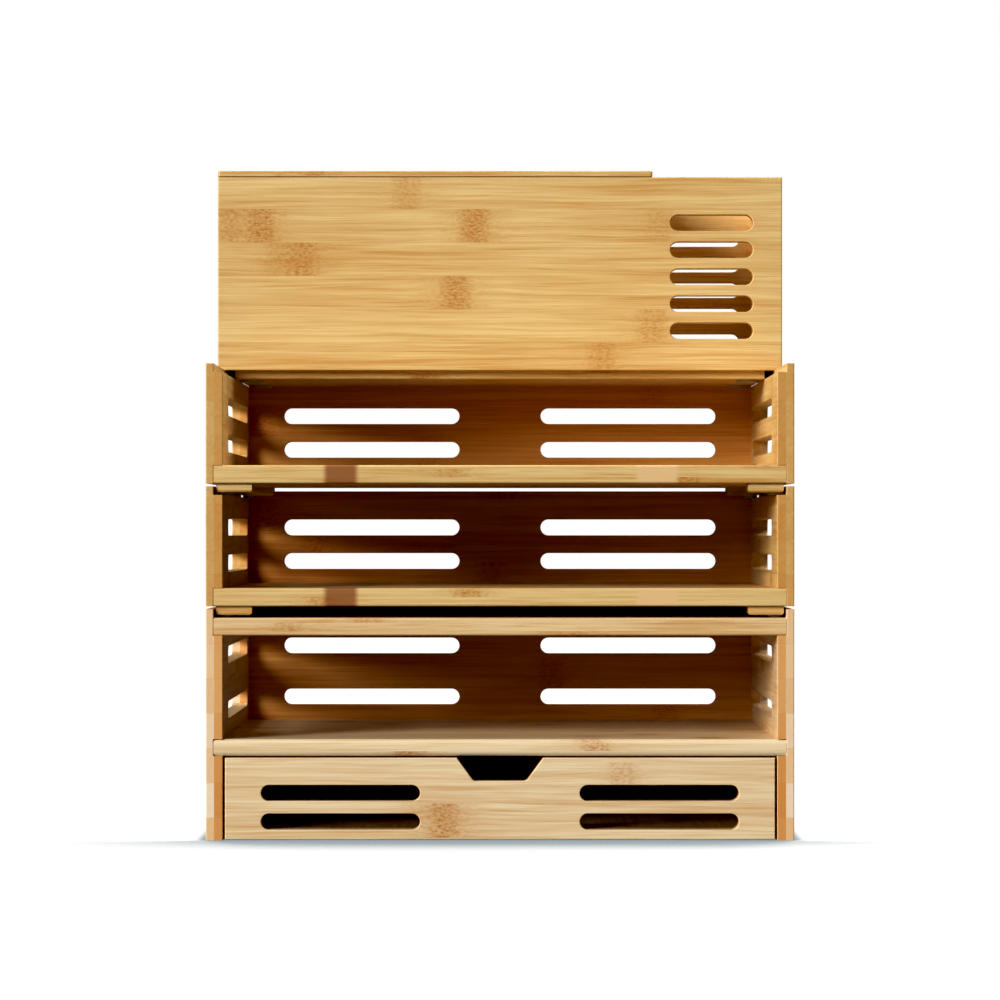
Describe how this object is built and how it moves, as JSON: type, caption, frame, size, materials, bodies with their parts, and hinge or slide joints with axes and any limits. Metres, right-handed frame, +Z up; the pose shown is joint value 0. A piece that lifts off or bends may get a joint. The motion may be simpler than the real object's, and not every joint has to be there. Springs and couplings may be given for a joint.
{
  "type": "desk organizer",
  "caption": "Stacking bamboo desk organizer: a base with a shelf bay and drawer, open paper trays on feet, and a slotted pen caddy with a hinged lid.",
  "frame": {"origin": "centre of the base's footprint, at desk level", "axes": "+Z up; the open front with the drawer faces -Y; +X to the right seen from the front"},
  "size_m": [0.33, 0.25, 0.3841],
  "materials": {
    "bamboo": "satin clear lacquer",
    "bamboo_ply": "satin clear lacquer",
    "dowel_wood": "raw",
    "clear_rubber": "translucent, satin",
    "screw_steel": "zinc plated",
    "hinge_brass": "satin"
  },
  "bodies": {
    "base": {"base_left_side": "bamboo", "base_right_side": "bamboo", "base_top": "bamboo", "base_shelf": "bamboo", "base_back": "bamboo", "base_bottom": "bamboo_ply", "base_dowels": "dowel_wood", "base_screws": "screw_steel"},
    "drawer": {"drawer_front": "bamboo", "drawer_left_side": "bamboo", "drawer_right_side": "bamboo", "drawer_back": "bamboo", "drawer_bottom": "bamboo_ply", "drawer_dowels": "dowel_wood"},
    "lower_tray": {"lower_tray_left_side": "bamboo", "lower_tray_right_side": "bamboo", "lower_tray_bottom": "bamboo", "lower_tray_back": "bamboo", "lower_tray_feet": "bamboo", "lower_tray_foot_pads": "clear_rubber", "lower_tray_dowels": "dowel_wood", "lower_tray_screws": "screw_steel"},
    "upper_tray": {"upper_tray_left_side": "bamboo", "upper_tray_right_side": "bamboo", "upper_tray_bottom": "bamboo", "upper_tray_back": "bamboo", "upper_tray_feet": "bamboo", "upper_tray_foot_pads": "clear_rubber", "upper_tray_dowels": "dowel_wood", "upper_tray_screws": "screw_steel"},
    "caddy": {"caddy_front": "bamboo", "caddy_back": "bamboo", "caddy_left_wall": "bamboo", "caddy_right_wall": "bamboo", "caddy_divider": "bamboo", "caddy_bottom": "bamboo", "caddy_pads": "clear_rubber", "caddy_dowels": "dowel_wood", "caddy_screws": "screw_steel", "hinge_fixed_leaves": "hinge_brass", "hinge_pins": "hinge_brass", "hinge_screws": "hinge_brass"},
    "lid": {"lid": "bamboo", "hinge_moving_leaves": "hinge_brass", "hinge_rivets": "hinge_brass"}
  },
  "joints": [
    {"name": "drawer_slide", "type": "slide", "parent": "base", "child": "drawer", "axis": [0, -1, 0], "range_m": [0, 0.18]},
    {"name": "lower_tray_lift", "type": "slide", "parent": "base", "child": "lower_tray", "axis": [0, 0, 1], "range_m": [0, 0.05]},
    {"name": "upper_tray_lift", "type": "slide", "parent": "lower_tray", "child": "upper_tray", "axis": [0, 0, 1], "range_m": [0, 0.05]},
    {"name": "caddy_lift", "type": "slide", "parent": "upper_tray", "child": "caddy", "axis": [0, 0, 1], "range_m": [0, 0.05]},
    {"name": "lid_hinge", "type": "hinge", "parent": "caddy", "child": "lid", "pos_m": [0, 0.1233, 0.38065], "axis": [-1, 0, 0], "range_deg": [0, 95]}
  ]
}
